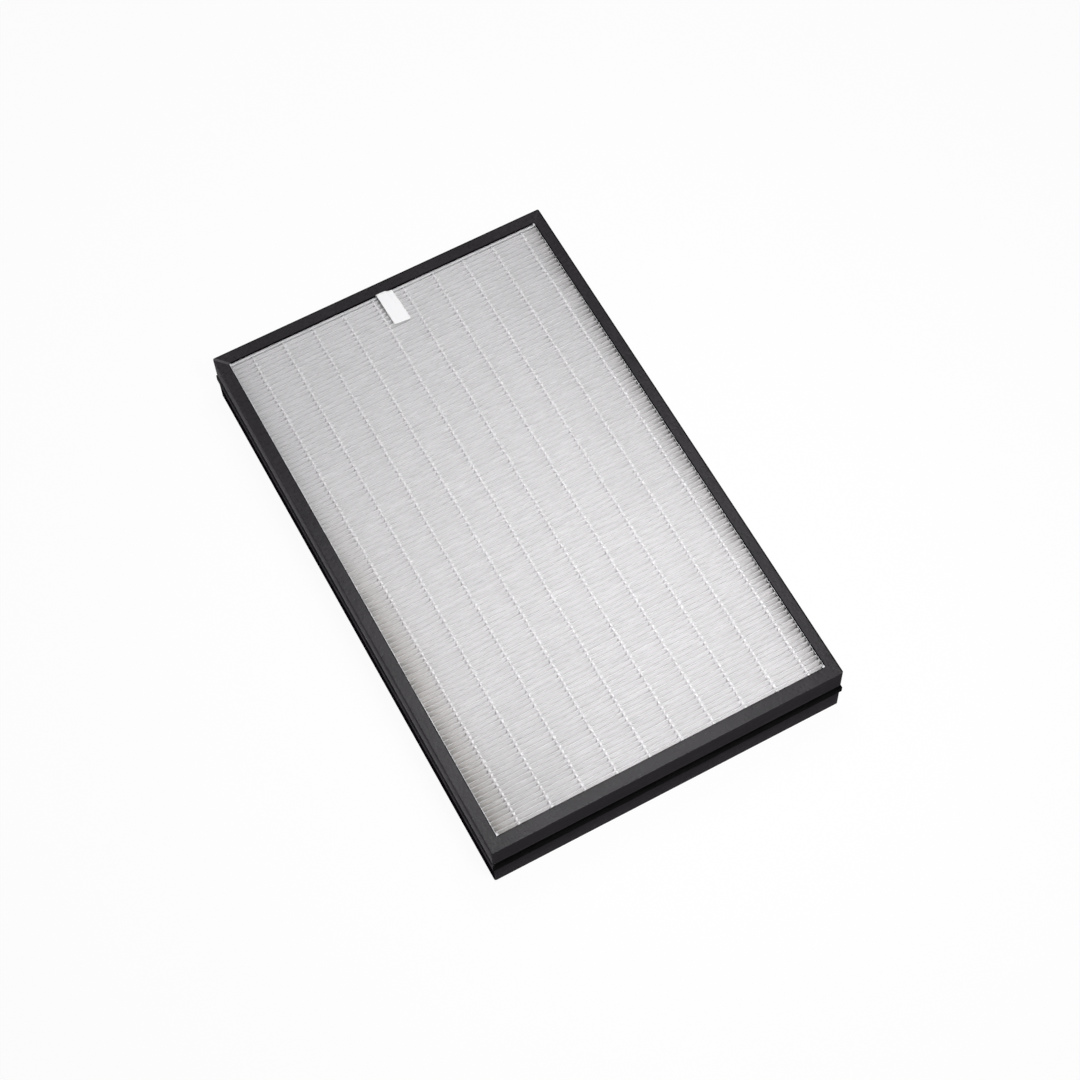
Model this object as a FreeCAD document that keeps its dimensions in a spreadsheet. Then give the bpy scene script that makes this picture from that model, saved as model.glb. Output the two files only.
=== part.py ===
import FreeCAD, Part
import os
import Sketcher

# Flat air purifier filter cartridge, lying on its back.
# Two framed tiers are stacked: pleated filter paper above, a carbon mat below, a foam gasket between them.
# Frame: origin at the centre of the underside, X across the short side, Y along the long side, Z up.
# The pull tab is at the +Y end. The tiers are modelled from their own base and placed at their height.

doc = FreeCAD.newDocument("filter_cartridge")

# Driving sizes in millimetres. A value that starts with = is worked out from the ones above it.
SIZES = (
    ("filter_width", "275", "outside, across the short side"),
    ("filter_length", "445", "outside, along the long side"),
    ("tier_height", "20.6", "height of each framed tier"),
    ("gasket_height", "10.8", "foam between the tiers"),
    ("board", "1.5", "thickness of the frame board"),
    ("board_bend", "0.8", "outer radius where the board is folded"),
    ("long_flange", "9", "width of the flanges along the long sides"),
    ("short_flange", "10", "width of the flanges along the short sides"),
    ("mitre_clearance", "0.1", "each strip stops this short of its mitre line"),
    ("fit_clearance", "0.3", "between a loose layer and the frame wall"),
    ("pleat_count", "110", "folds of the paper"),
    ("paper", "0.4", "thickness of the filter paper"),
    ("fold_tip", "1.2", "width over the tip of a fold"),
    ("fold_bevel", "0.35", "the corners of a tip are bevelled by this"),
    ("bead_count", "10", "glue lines on each face of the pleats"),
    ("bead_margin_left", "23.7", "from the left end of the folds to the first glue line"),
    ("bead_margin_right", "17.9", "from the last glue line to the right end of the folds"),
    ("bead_width", "1.2", "width of a glue line"),
    ("bead_height", "0.4", "height of a glue line"),
    ("band", "1.5", "thickness of the bands at the pleat ends"),
    ("end_seal", "1.5", "thickness of the seals at the last folds"),
    ("edge_seal_width", "1", "glue line along the flange"),
    ("edge_seal_height", "0.9", "glue line along the flange"),
    ("tab_width", "13", "pull tab"),
    ("tab_length", "30.5", "pull tab, the part in sight"),
    ("tab_grip", "5", "pull tab, the part under the flange"),
    ("tab_taper", "1", "the free end of the tab is narrower by this"),
    ("tab_slant", "1.5", "the free end of the tab is cut askew by this"),
    ("gasket_depth", "9", "from the frame wall inwards"),
    ("gasket_recess", "0.6", "the neck of the gasket stands back by this"),
    ("gasket_lip", "0.8", "the lip of the gasket stands out by this"),
    ("gasket_lip_height", "7.8", "the lip of the gasket, from its foot"),
    ("gasket_round", "0.7", "rounding of the lip"),
    ("net", "0.8", "thickness of the nets at the carbon mat"),
    ("inner_width", "=filter_width - 2 * board", "between the long walls"),
    ("inner_length", "=filter_length - 2 * board", "between the short walls"),
    ("inner_height", "=tier_height - 2 * board", "between the flanges"),
    ("upper_base", "=tier_height + gasket_height", "foot of the upper tier"),
    ("fold_low", "=board + bead_height", "underside of the folds in their tier"),
    ("fold_high", "=tier_height - board - bead_height", "top of the folds in their tier"),
    ("paper_width", "=inner_width - 2 * band - 2 * fit_clearance", "length of the folds"),
    ("paper_length", "=inner_length - 2 * end_seal - 2 * fit_clearance", "length of the folded sheet"),
    ("pleat_pitch", "=paper_length / pleat_count", "from fold to fold"),
    ("fold_inner", "=fold_tip / 2 - paper", "half the flat inside a fold"),
    ("bead_spread", "=paper_width - bead_margin_left - bead_margin_right", "first to last glue line"),
    ("bead_spacing", "=bead_spread / (bead_count - 1)", "between glue lines"),
    ("carbon_height", "=inner_height - 2 * net", "carbon mat"),
)
sheet = doc.addObject("Spreadsheet::Sheet", "sizes")
for row, (alias, value, note) in enumerate(SIZES, start=1):
    sheet.set("A%d" % row, alias)
    sheet.set("B%d" % row, value)
    sheet.set("C%d" % row, note)
    sheet.setAlias("B%d" % row, alias)
doc.recompute()

# Sides of the rings: the direction that a side faces, as its axis and sign.
SIDES = {"left": ("x", "-"), "right": ("x", "+"), "near": ("y", "-"), "far": ("y", "+")}
HALF_SIZE = {"x": "sizes.filter_width / 2", "y": "sizes.filter_length / 2"}
OVERCUT = "5 * sizes.board"
NEAR = 0.000001


def new_body(name, base="0"):
    """An empty body at the given height, as an expression."""
    body = doc.addObject("PartDesign::Body", name)
    body.Label = name
    body.setExpression("Placement.Base.z", base)
    return body


def outline(body, role, corners, level="0"):
    """A closed straight-sided outline on one of the body's planes, each corner a pair of expressions."""
    sketch = body.newObject("Sketcher::SketchObject", body.Name + "_outline")
    plane = next(item for item in body.Origin.OriginFeatures if item.Role == role)
    sketch.AttachmentSupport = (plane, [""])
    sketch.MapMode = "FlatFace"
    sketch.setExpression("AttachmentOffset.Base.z", level)
    points = []
    for across, along in corners:
        points.append(FreeCAD.Vector(sketch.evalExpression(across), sketch.evalExpression(along), 0))
    for index, point in enumerate(points):
        sketch.addGeometry(Part.LineSegment(point, points[(index + 1) % len(points)]), False)
    for index in range(len(points)):
        sketch.addConstraint(Sketcher.Constraint("Coincident", index, 2, (index + 1) % len(points), 1))
    for index, (point, corner) in enumerate(zip(points, corners)):
        measures = (("DistanceX", point.x, corner[0]), ("DistanceY", point.y, corner[1]))
        for kind, distance, expression in measures:
            place = sketch.addConstraint(Sketcher.Constraint(kind, -1, 1, index, 1, distance))
            name = "corner_%d_%s" % (index, kind[-1].lower())
            sketch.renameConstraint(place, name)
            sketch.setExpression("Constraints." + name, expression)
    return sketch


def pad(body, sketch, height):
    """A pad of the outline, along its plane's normal."""
    feature = body.newObject("PartDesign::Pad", body.Name + "_pad")
    feature.Profile = sketch
    feature.setExpression("Length", height)
    sketch.Visibility = False
    doc.recompute()
    return feature


def pocket(body, sketch, depth):
    """A pocket of the outline, against its plane's normal, that has to take something away."""
    before = body.Shape.Volume
    feature = body.newObject("PartDesign::Pocket", body.Name + "_pocket")
    feature.Profile = sketch
    feature.setExpression("Length", depth)
    sketch.Visibility = False
    doc.recompute()
    if body.Shape.Volume >= before:
        raise ValueError("the pocket of %s cuts nothing" % body.Name)
    return feature


def rectangle(x_low, x_high, y_low, y_high):
    """Corners of a rectangle from four expressions."""
    return ((x_low, y_low), (x_high, y_low), (x_high, y_high), (x_low, y_high))


def centred(width, length):
    """Corners of a rectangle about the middle."""
    return rectangle("-%s / 2" % width, "%s / 2" % width, "-%s / 2" % length, "%s / 2" % length)


def on_side(side, points):
    """Corners given as outwards and along the side, turned into X and Y."""
    axis, sign = SIDES[side]
    corners = []
    for outwards, along in points:
        out = "%s(%s)" % (sign, outwards)
        corners.append((out, along) if axis == "x" else (along, out))
    return corners


def ring_strip(side, outer, inner):
    """Plan of one mitred strip of a ring. Outer and inner are its distances in from the frame's outside,
    each as a pair: at the long sides, then at the short sides."""
    across = SIDES[side][0]
    along = "y" if across == "x" else "x"
    place = {"x": 0, "y": 1}
    points = []
    for inset, sign in ((outer, "-"), (outer, ""), (inner, ""), (inner, "-")):
        outwards = "%s - (%s)" % (HALF_SIZE[across], inset[place[across]])
        reach = "%s - (%s) - sizes.mitre_clearance" % (HALF_SIZE[along], inset[place[along]])
        points.append((outwards, "%s(%s)" % (sign, reach)))
    return on_side(side, points)


def round_outside(body, feature, side, radius):
    """Rounds the two long edges of a strip's outer face."""
    axis, sign = SIDES[side]
    bound = feature.Shape.BoundBox
    reach = {"x-": bound.XMin, "x+": bound.XMax, "y-": bound.YMin, "y+": bound.YMax}[axis + sign]
    names = []
    for number, edge in enumerate(feature.Shape.Edges, start=1):
        lies_flat = edge.BoundBox.ZLength < edge.Length / 2
        if lies_flat and abs(getattr(edge.CenterOfMass, axis) - reach) < NEAR:
            names.append("Edge%d" % number)
    rounding = body.newObject("PartDesign::Fillet", body.Name + "_rounding")
    rounding.Base = (feature, names)
    rounding.setExpression("Radius", radius)
    doc.recompute()
    return rounding


def frame_channel(tier, side, base):
    """One side of a tier's frame: board folded to a channel that is open inwards."""
    body = new_body("%s_frame_%s" % (tier, side), base)
    plan = ring_strip(side, ("0", "0"), ("sizes.long_flange", "sizes.short_flange"))
    board = pad(body, outline(body, "XY_Plane", plan), "sizes.tier_height")
    round_outside(body, board, side, "sizes.board_bend")
    across = SIDES[side][0]
    along = "y" if across == "x" else "x"
    wall = "%s - sizes.board" % HALF_SIZE[across]
    clear_of_flange = "%s - sizes.long_flange - sizes.short_flange" % HALF_SIZE[across]
    end = "%s + %s" % (HALF_SIZE[along], OVERCUT)
    hollow = on_side(side, rectangle(clear_of_flange, wall, "-(%s)" % end, end))
    level = "sizes.tier_height - sizes.board"
    pocket(body, outline(body, "XY_Plane", hollow, level), "sizes.inner_height")
    return body


def gasket_strip(side):
    """One side of the foam gasket: a neck that stands back and a rounded lip that stands out."""
    body = new_body("gasket_%s" % side, "sizes.tier_height")
    inner = ("sizes.gasket_depth", "sizes.gasket_depth")
    neck = ring_strip(side, ("sizes.gasket_recess", "sizes.gasket_recess"), inner)
    lip = ring_strip(side, ("-sizes.gasket_lip", "-sizes.gasket_lip"), inner)
    pad(body, outline(body, "XY_Plane", neck), "sizes.gasket_height")
    lip_pad = pad(body, outline(body, "XY_Plane", lip), "sizes.gasket_lip_height")
    round_outside(body, lip_pad, side, "sizes.gasket_round")
    return body


def slab(name, base, corners, level, height):
    """A flat piece with a straight-sided plan."""
    body = new_body(name, base)
    pad(body, outline(body, "XY_Plane", corners, level), height)
    return body


def filter_paper():
    """One sheet folded to and fro. One fold is padded across the width and repeated along the length."""
    body = new_body("filter_paper", "sizes.upper_base")
    start = "-sizes.paper_length / 2"
    tip = "sizes.fold_tip / 2"
    flat = "(sizes.fold_tip / 2 - sizes.fold_bevel)"
    crest = "sizes.pleat_pitch / 2"
    fold = (
        ("0", "sizes.fold_low"),
        (flat, "sizes.fold_low"),
        (tip, "sizes.fold_low + sizes.fold_bevel"),
        (crest + " - sizes.fold_inner", "sizes.fold_high - sizes.paper"),
        (crest + " + sizes.fold_inner", "sizes.fold_high - sizes.paper"),
        ("sizes.pleat_pitch - " + tip, "sizes.fold_low + sizes.fold_bevel"),
        ("sizes.pleat_pitch - " + flat, "sizes.fold_low"),
        ("sizes.pleat_pitch", "sizes.fold_low"),
        ("sizes.pleat_pitch", "sizes.fold_low + sizes.paper"),
        ("sizes.pleat_pitch - sizes.fold_inner", "sizes.fold_low + sizes.paper"),
        (crest + " + " + tip, "sizes.fold_high - sizes.fold_bevel"),
        (crest + " + " + flat, "sizes.fold_high"),
        (crest + " - " + flat, "sizes.fold_high"),
        (crest + " - " + tip, "sizes.fold_high - sizes.fold_bevel"),
        ("sizes.fold_inner", "sizes.fold_low + sizes.paper"),
        ("0", "sizes.fold_low + sizes.paper"),
    )
    corners = [("%s + %s" % (start, along), height) for along, height in fold]
    sheet_fold = pad(body, outline(body, "YZ_Plane", corners, "-sizes.paper_width / 2"), "sizes.paper_width")
    folds = body.newObject("PartDesign::LinearPattern", "filter_paper_folds")
    folds.Originals = [sheet_fold]
    folds.Direction = (next(item for item in body.Origin.OriginFeatures if item.Role == "Y_Axis"), [""])
    folds.setExpression("Length", "(sizes.pleat_count - 1) * sizes.pleat_pitch")
    folds.setExpression("Occurrences", "sizes.pleat_count")
    body.Tip = folds
    doc.recompute()
    return body


def spacer_bead(face, number, level):
    """One glue line along the folds, on their upper or lower tips."""
    half_width = "sizes.bead_width / 2"
    corners = rectangle("-" + half_width, half_width, "-sizes.paper_length / 2", "sizes.paper_length / 2")
    body = slab("%s_bead_%02d" % (face, number), "sizes.upper_base", corners, level, "sizes.bead_height")
    first = "-sizes.paper_width / 2 + sizes.bead_margin_left"
    body.setExpression("Placement.Base.x", "%s + %d * sizes.bead_spacing" % (first, number - 1))
    return body


def side_band(side):
    """Band that closes the ends of the folds along a long side."""
    outer = "sizes.inner_width / 2"
    end = "(sizes.inner_length / 2 - sizes.end_seal - sizes.fit_clearance)"
    corners = on_side(side, rectangle(outer + " - sizes.band", outer, "-" + end, end))
    return slab("side_band_" + side, "sizes.upper_base", corners, "sizes.board", "sizes.inner_height")


def end_seal(side):
    """Seal between the last fold and the wall at a short side."""
    outer = "sizes.inner_length / 2"
    end = "sizes.inner_width / 2"
    corners = on_side(side, rectangle(outer + " - sizes.end_seal", outer, "-" + end, end))
    return slab("end_seal_" + side, "sizes.upper_base", corners, "sizes.board", "sizes.inner_height")


def edge_seal(side):
    """Glue line in the corner between the folds and the edge of the upper flange."""
    outer = ("sizes.long_flange", "sizes.short_flange")
    inner = tuple(inset + " + sizes.edge_seal_width" for inset in outer)
    level = "sizes.tier_height - sizes.board"
    return slab("edge_seal_" + side, "sizes.upper_base", ring_strip(side, outer, inner), level,
                "sizes.edge_seal_height")


def pull_tab():
    """Strip that comes out from under the far flange and lies on the folds."""
    root = "sizes.filter_length / 2 - sizes.short_flange + sizes.tab_grip"
    tip = "sizes.filter_length / 2 - sizes.short_flange - sizes.tab_length"
    corners = (
        ("-sizes.tab_width / 2", root),
        ("-sizes.tab_width / 2 + sizes.tab_taper", tip + " + sizes.tab_slant"),
        ("sizes.tab_width / 2", tip),
        ("sizes.tab_width / 2", root),
    )
    return slab("pull_tab", "sizes.upper_base", corners, "sizes.fold_high", "sizes.bead_height")


def layer(name, level, height):
    """A sheet that fills the lower tier from wall to wall."""
    corners = centred("(sizes.inner_width - 2 * sizes.fit_clearance)",
                      "(sizes.inner_length - 2 * sizes.fit_clearance)")
    return slab(name, "0", corners, level, height)


sub_parts = []
for side in SIDES:
    sub_parts.append(frame_channel("upper", side, "sizes.upper_base"))
    sub_parts.append(frame_channel("lower", side, "0"))
    sub_parts.append(gasket_strip(side))
    sub_parts.append(edge_seal(side))
for side in ("left", "right"):
    sub_parts.append(side_band(side))
for side in ("near", "far"):
    sub_parts.append(end_seal(side))
sub_parts.append(filter_paper())
for number in range(1, int(sheet.bead_count) + 1):
    sub_parts.append(spacer_bead("upper", number, "sizes.fold_high"))
    sub_parts.append(spacer_bead("lower", number, "sizes.board"))
sub_parts.append(pull_tab())
sub_parts.append(layer("lower_net", "sizes.board", "sizes.net"))
sub_parts.append(layer("carbon_mat", "sizes.board + sizes.net", "sizes.carbon_height"))
sub_parts.append(layer("upper_net", "sizes.tier_height - sizes.board - sizes.net", "sizes.net"))
doc.recompute()

for item in doc.Objects:
    if "Invalid" in item.State or "Error" in item.State:
        raise ValueError("%s didn't build" % item.Label)
for body in sub_parts:
    if body.Shape.isNull() or not body.Shape.isValid() or len(body.Shape.Solids) != 1:
        raise ValueError("%s isn't one sound solid" % body.Label)

os.makedirs("parts", exist_ok=True)
for body in sub_parts:
    body.Shape.exportStep("parts/%s.step" % body.Label)
    print(body.Label, round(body.Shape.Volume, 1))
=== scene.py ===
# %% [markdown]
# # A framed air filter, dressed for the camera
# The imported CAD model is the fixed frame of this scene. It has the right sizes, but its folds are flat facets
# and its boards have no finish. Each step below takes one family of pieces, says what it is on the real
# filter, and gives it the shape and the surface that a maker would know. Sizes are in metres.

# %% Load the frame
import math
import random
import bmesh
import bpy
from mathutils import Matrix, Vector, noise


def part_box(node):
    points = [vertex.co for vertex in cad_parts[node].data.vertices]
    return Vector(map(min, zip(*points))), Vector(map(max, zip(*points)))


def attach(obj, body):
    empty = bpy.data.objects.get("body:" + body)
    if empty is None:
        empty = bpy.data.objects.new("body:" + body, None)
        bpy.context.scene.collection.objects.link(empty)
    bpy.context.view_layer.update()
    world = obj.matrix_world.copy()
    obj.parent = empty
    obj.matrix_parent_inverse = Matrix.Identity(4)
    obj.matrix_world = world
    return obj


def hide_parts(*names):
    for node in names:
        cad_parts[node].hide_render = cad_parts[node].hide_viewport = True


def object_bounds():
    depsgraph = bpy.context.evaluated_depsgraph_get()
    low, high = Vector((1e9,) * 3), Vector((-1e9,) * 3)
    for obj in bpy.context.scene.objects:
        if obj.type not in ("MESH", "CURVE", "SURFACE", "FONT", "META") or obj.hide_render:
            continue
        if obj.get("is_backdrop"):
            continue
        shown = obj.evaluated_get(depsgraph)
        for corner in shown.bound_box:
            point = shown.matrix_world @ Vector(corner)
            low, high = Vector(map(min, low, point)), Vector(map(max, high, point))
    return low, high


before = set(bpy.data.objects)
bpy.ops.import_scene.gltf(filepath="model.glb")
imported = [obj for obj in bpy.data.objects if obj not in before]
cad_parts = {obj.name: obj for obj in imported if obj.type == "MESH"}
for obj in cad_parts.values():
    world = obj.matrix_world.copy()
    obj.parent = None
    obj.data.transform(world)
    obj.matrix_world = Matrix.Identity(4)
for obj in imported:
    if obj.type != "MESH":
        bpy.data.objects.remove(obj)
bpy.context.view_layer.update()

MM = 0.001

# %% [markdown]
# ## The view
# The filter lies flat on a table and is seen from above one corner, through a lens of moderate length. The
# place of the camera was worked out from the four corners of the frame and the heights of its side walls.
# A camera looks along its own -Z, so its three axes are written as the columns of a rotation.

# %% Camera
LENS = 83.02
FILM_WIDTH = 36
CAMERA_PLACE = (-0.3486, -0.7712, 1.6229)
LOOK_ALONG = Vector((0.198464, 0.418399, -0.886315))
PICTURE_UP = Vector((0.431673, 0.774555, 0.462301))

camera_data = bpy.data.cameras.new("product_camera")
camera_data.lens = LENS
camera_data.sensor_width = FILM_WIDTH
camera = bpy.data.objects.new("product_camera", camera_data)
bpy.context.scene.collection.objects.link(camera)
picture_right = LOOK_ALONG.cross(PICTURE_UP).normalized()
upright = picture_right.cross(LOOK_ALONG)
turn = Matrix((picture_right, upright, -LOOK_ALONG)).transposed()
camera.matrix_world = Matrix.Translation(CAMERA_PLACE) @ turn.to_4x4()
bpy.context.scene.camera = camera
print("camera looks down by, degrees:", round(math.degrees(math.asin(-LOOK_ALONG.z)), 1))

# %% [markdown]
# ## Table and light
# The table is a plain pale floor. It is lit a little below white, and a glow that only the camera,
# reflections and clear things see lifts it to white, so that the shadow under the filter stays. White
# light from all round would wash the folds out, and a lamp from the side would draw them too hard. So the
# main light is a soft box close to the direction of the camera, with a grid in front: its narrow beam falls
# off towards the far left, as the paper does in the picture. A second box hangs low overhead, and its
# reflection makes the near part of the dark frame lighter than the far part. The sky only fills the shadows.

# %% Helpers for nodes
bpy.context.scene.view_settings.view_transform = "Standard"


def add_node(tree, kind, **settings):
    """A node of a material, with its settings and the values of its sockets."""
    node = tree.nodes.new(kind)
    for name, value in settings.items():
        if hasattr(node, name):
            setattr(node, name, value)
        else:
            node.inputs[name.replace("_", " ")].default_value = value
    return node


def combine(tree, operation, *values, clamp=False):
    """One number from one or two, such as their product. Each of them is a socket or a number."""
    node = add_node(tree, "ShaderNodeMath", operation=operation, use_clamp=clamp)
    for socket, value in zip(node.inputs, values):
        if isinstance(value, (int, float)):
            socket.default_value = value
        else:
            tree.links.new(value, socket)
    return node.outputs[0]


def seen_rays(tree):
    """1 for what the camera sees straight, in a reflection or through something clear, 0 for light itself."""
    path = add_node(tree, "ShaderNodeLightPath")
    total = path.outputs["Is Camera Ray"]
    for name in ("Is Glossy Ray", "Is Transmission Ray"):
        total = combine(tree, "MAXIMUM", total, path.outputs[name])
    return total


def mix_surfaces(tree, share, first, second, output):
    """Links a mix of two surfaces or backgrounds to the output of its tree."""
    both = add_node(tree, "ShaderNodeMixShader")
    out = add_node(tree, output)
    tree.links.new(share, both.inputs[0])
    tree.links.new(first.outputs[0], both.inputs[1])
    tree.links.new(second.outputs[0], both.inputs[2])
    tree.links.new(both.outputs[0], out.inputs["Surface"])


# %% Table
TABLE_TONE = 0.88
GLOW_SHARE = 0.95
TABLE_HALF = 6

floor_paint = bpy.data.materials.new("table_paint")
floor_paint.use_nodes = True
tree = floor_paint.node_tree
tree.nodes.clear()
matt = add_node(tree, "ShaderNodeBsdfDiffuse", Color=(TABLE_TONE, TABLE_TONE, TABLE_TONE, 1))
glow = add_node(tree, "ShaderNodeEmission", Color=(1, 1, 1, 1))
glow_seen = combine(tree, "MULTIPLY", seen_rays(tree), GLOW_SHARE)
mix_surfaces(tree, glow_seen, matt, glow, "ShaderNodeOutputMaterial")

table_top = bmesh.new()
bmesh.ops.create_grid(table_top, x_segments=8, y_segments=8, size=TABLE_HALF)
table_mesh = bpy.data.meshes.new("table")
table_top.to_mesh(table_mesh)
table_top.free()
table_mesh.materials.append(floor_paint)
table = bpy.data.objects.new("table", table_mesh)
bpy.context.scene.collection.objects.link(table)
table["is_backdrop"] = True
print("table, in m:", 2 * TABLE_HALF)


# %% Lamps
def soft_box(name, centre, aim, size, watts, spread=180):
    """A rectangular lamp, turned from straight down towards a point. A grid in front narrows its spread."""
    lamp = bpy.data.lights.new(name, "AREA")
    lamp.shape = "RECTANGLE"
    lamp.size, lamp.size_y = size
    lamp.energy = watts
    lamp.spread = math.radians(spread)
    holder = bpy.data.objects.new(name, lamp)
    down = Vector((0, 0, -1))
    turn = down.rotation_difference(Vector(aim) - Vector(centre))
    holder.matrix_world = Matrix.Translation(centre) @ turn.to_matrix().to_4x4()
    holder.visible_camera = False
    bpy.context.scene.collection.objects.link(holder)
    print(name, "watts:", watts)


soft_box("grid_soft_box", centre=(0.10, -0.62, 1.25), aim=(0.045, -0.148, 0.05), size=(0.25, 0.25),
         watts=0.96, spread=50.0)
soft_box("top_soft_box", centre=(0.12, 0.155, 0.80), aim=(0.12, 0.155, 0), size=(0.40, 0.44), watts=2.9)

# %% Sky
SKY_STRENGTH = 0.20

sky = bpy.data.worlds.new("studio")
sky.use_nodes = True
bpy.context.scene.world = sky
tree = sky.node_tree
tree.nodes.clear()
even = add_node(tree, "ShaderNodeBackground", Color=(0.97, 0.98, 1.0, 1), Strength=SKY_STRENGTH)
white = add_node(tree, "ShaderNodeBackground", Color=(1, 1, 1, 1), Strength=1.0)
mix_surfaces(tree, seen_rays(tree), even, white, "ShaderNodeOutputWorld")
print("sky strength:", SKY_STRENGTH)

# %% [markdown]
# ## Finishes
# Every finish starts from the same few steps: a pattern in the object's own coordinates, a range of colours
# laid over it, and a bump made from it. The patterns differ in scale and in stretch, because board has short
# fibres pressed flat, foam has round cells, and glue is smooth with slow waves.


# %% Helpers for the finishes: patterns
def finish(name, roughness, shine):
    """A new material. Returns it, its node tree and its shader."""
    material = bpy.data.materials.new(name)
    material.use_nodes = True
    tree = material.node_tree
    tree.nodes.clear()
    shader = add_node(tree, "ShaderNodeBsdfPrincipled", Roughness=roughness, Specular_IOR_Level=shine)
    out = add_node(tree, "ShaderNodeOutputMaterial")
    tree.links.new(shader.outputs[0], out.inputs["Surface"])
    return material, tree, shader


def pattern(tree, kind, **settings):
    """A texture in object coordinates. Its scale counts per metre."""
    place = add_node(tree, "ShaderNodeTexCoord")
    texture = add_node(tree, kind, **settings)
    tree.links.new(place.outputs["Object"], texture.inputs["Vector"])
    return texture.outputs


def grain(tree, scale, stretch=(1, 1, 1), detail=3):
    """Cloudy noise in object coordinates. Scale counts per metre, stretch multiplies it per axis."""
    fitted = pattern(tree, "ShaderNodeMapping", Scale=stretch)
    cloud = add_node(tree, "ShaderNodeTexNoise", Scale=scale, Detail=detail, Roughness=0.55)
    tree.links.new(fitted[0], cloud.inputs["Vector"])
    return cloud.outputs["Fac"]


def axes_of(tree):
    """X, Y and Z of a point in object coordinates."""
    return pattern(tree, "ShaderNodeSeparateXYZ")


def ramp_along(tree, value, start, end, interpolation="SMOOTHSTEP"):
    """A step from 0 to 1 between two places."""
    step = add_node(tree, "ShaderNodeMapRange", interpolation_type=interpolation, From_Min=start,
                    From_Max=end)
    tree.links.new(value, step.inputs["Value"])
    return step.outputs["Result"]


def spread(tree, factor, low, high):
    """A factor from 0 to 1, mapped to a range of numbers."""
    fit = add_node(tree, "ShaderNodeMapRange", To_Min=low, To_Max=high)
    tree.links.new(factor, fit.inputs["Value"])
    return fit.outputs["Result"]


# %% Helpers for the finishes: colours and relief
def shades(tree, factor, *stops):
    """Colours along a factor from 0 to 1. Each stop is a place and a colour, or a number for a grey."""
    ramp = add_node(tree, "ShaderNodeValToRGB")
    while len(ramp.color_ramp.elements) < len(stops):
        ramp.color_ramp.elements.new(0.5)
    for element, (place, colour) in zip(ramp.color_ramp.elements, stops):
        element.position = place
        element.color = (*colour, 1) if isinstance(colour, (tuple, list)) else (colour, colour, colour, 1)
    tree.links.new(factor, ramp.inputs[0])
    return ramp.outputs["Color"]


# A Mix node has sockets of the same name for numbers, vectors and colours, so they are named by their place.
FACTOR, FIRST_COLOUR, SECOND_COLOUR, MIXED_COLOUR = 0, 6, 7, 2


def blend(tree, factor, first, second, mode="MIX"):
    """Two colours mixed. Factor is a socket or a number."""
    mix = add_node(tree, "ShaderNodeMix", data_type="RGBA", blend_type=mode)
    if isinstance(factor, (int, float)):
        mix.inputs[FACTOR].default_value = factor
    else:
        tree.links.new(factor, mix.inputs[FACTOR])
    tree.links.new(first, mix.inputs[FIRST_COLOUR])
    tree.links.new(second, mix.inputs[SECOND_COLOUR])
    return mix.outputs[MIXED_COLOUR]


def tinted(tree, colour, factor, *stops):
    """A colour multiplied by shades along a factor."""
    return blend(tree, 1.0, colour, shades(tree, factor, *stops), "MULTIPLY")


def coat(tree, shader, colour, roughness=None):
    """Links the colour of a shader and, where it varies, its roughness."""
    tree.links.new(colour, shader.inputs["Base Color"])
    if roughness is not None:
        tree.links.new(roughness, shader.inputs["Roughness"])


def bump(tree, shader, height, depth):
    """Raises the surface by a pattern, depth in metres. A second bump adds to the first."""
    relief = add_node(tree, "ShaderNodeBump", Strength=1.0, Distance=depth)
    if shader.inputs["Normal"].is_linked:
        tree.links.new(shader.inputs["Normal"].links[0].from_socket, relief.inputs["Normal"])
    tree.links.new(height, relief.inputs["Height"])
    tree.links.new(relief.outputs[0], shader.inputs["Normal"])


# %% Frame board: dark coated card
def board_coating(name, roughness, shine, depth):
    """Dark coating over card. Depth scales its colour: flanges and most walls are near 0.5; the lips, rim and
    creases (0.18) and the lower left wall (0.42) are darker as painted shade, the upper left wall (1.1) lighter
    as painted light. The walls are also duller than the flanges.
    """
    material, tree, shader = finish(name, roughness, shine)
    fibres = grain(tree, 420, detail=4)
    streaks = grain(tree, 420, stretch=(0.05, 0.05, 1))
    clouds = grain(tree, 22)
    dark = [depth * value for value in (0.0160, 0.0120, 0.0170)]
    light = [depth * value for value in (0.0220, 0.0172, 0.0232)]
    base = shades(tree, clouds, (0.3, dark), (0.7, light))
    base = tinted(tree, base, fibres, (0.35, 0.55), (0.65, 1.4))
    base = tinted(tree, base, streaks, (0.35, 0.75), (0.7, 1.3))
    scuffs = grain(tree, 340, detail=5)
    # The wear and painted light that a piece carries on its vertices, broken up by the scuffs.
    wear_and_light = add_node(tree, "ShaderNodeAttribute", attribute_name="wear_and_light").outputs["Fac"]
    worn_or_lit = combine(tree, "MULTIPLY", wear_and_light, spread(tree, scuffs, 0.6, 1.2), clamp=True)
    rubbed_or_lit = shades(tree, scuffs, (0.4, (0.074, 0.069, 0.076)), (0.7, (0.106, 0.099, 0.107)))
    base = blend(tree, worn_or_lit, base, rubbed_or_lit)
    coat(tree, shader, base, spread(tree, fibres, roughness - 0.14, roughness + 0.14))
    bump(tree, shader, grain(tree, 38, detail=2), 0.35 * MM)
    bump(tree, shader, fibres, 0.14 * MM)
    return material


flange_finish = board_coating("board_flange", roughness=0.31, shine=0.215, depth=0.52)
# The lips, the rim round the window and the far and right creases are painted darker: painted shade.
lip_painted_shade_finish = board_coating("board_lip_painted_shade", roughness=0.92, shine=0.01, depth=0.18)
upper_wall_finish = board_coating("board_upper_wall", roughness=0.80, shine=0.07, depth=0.52)
lower_wall_finish = board_coating("board_lower_wall", roughness=0.80, shine=0.05, depth=0.55)
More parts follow.
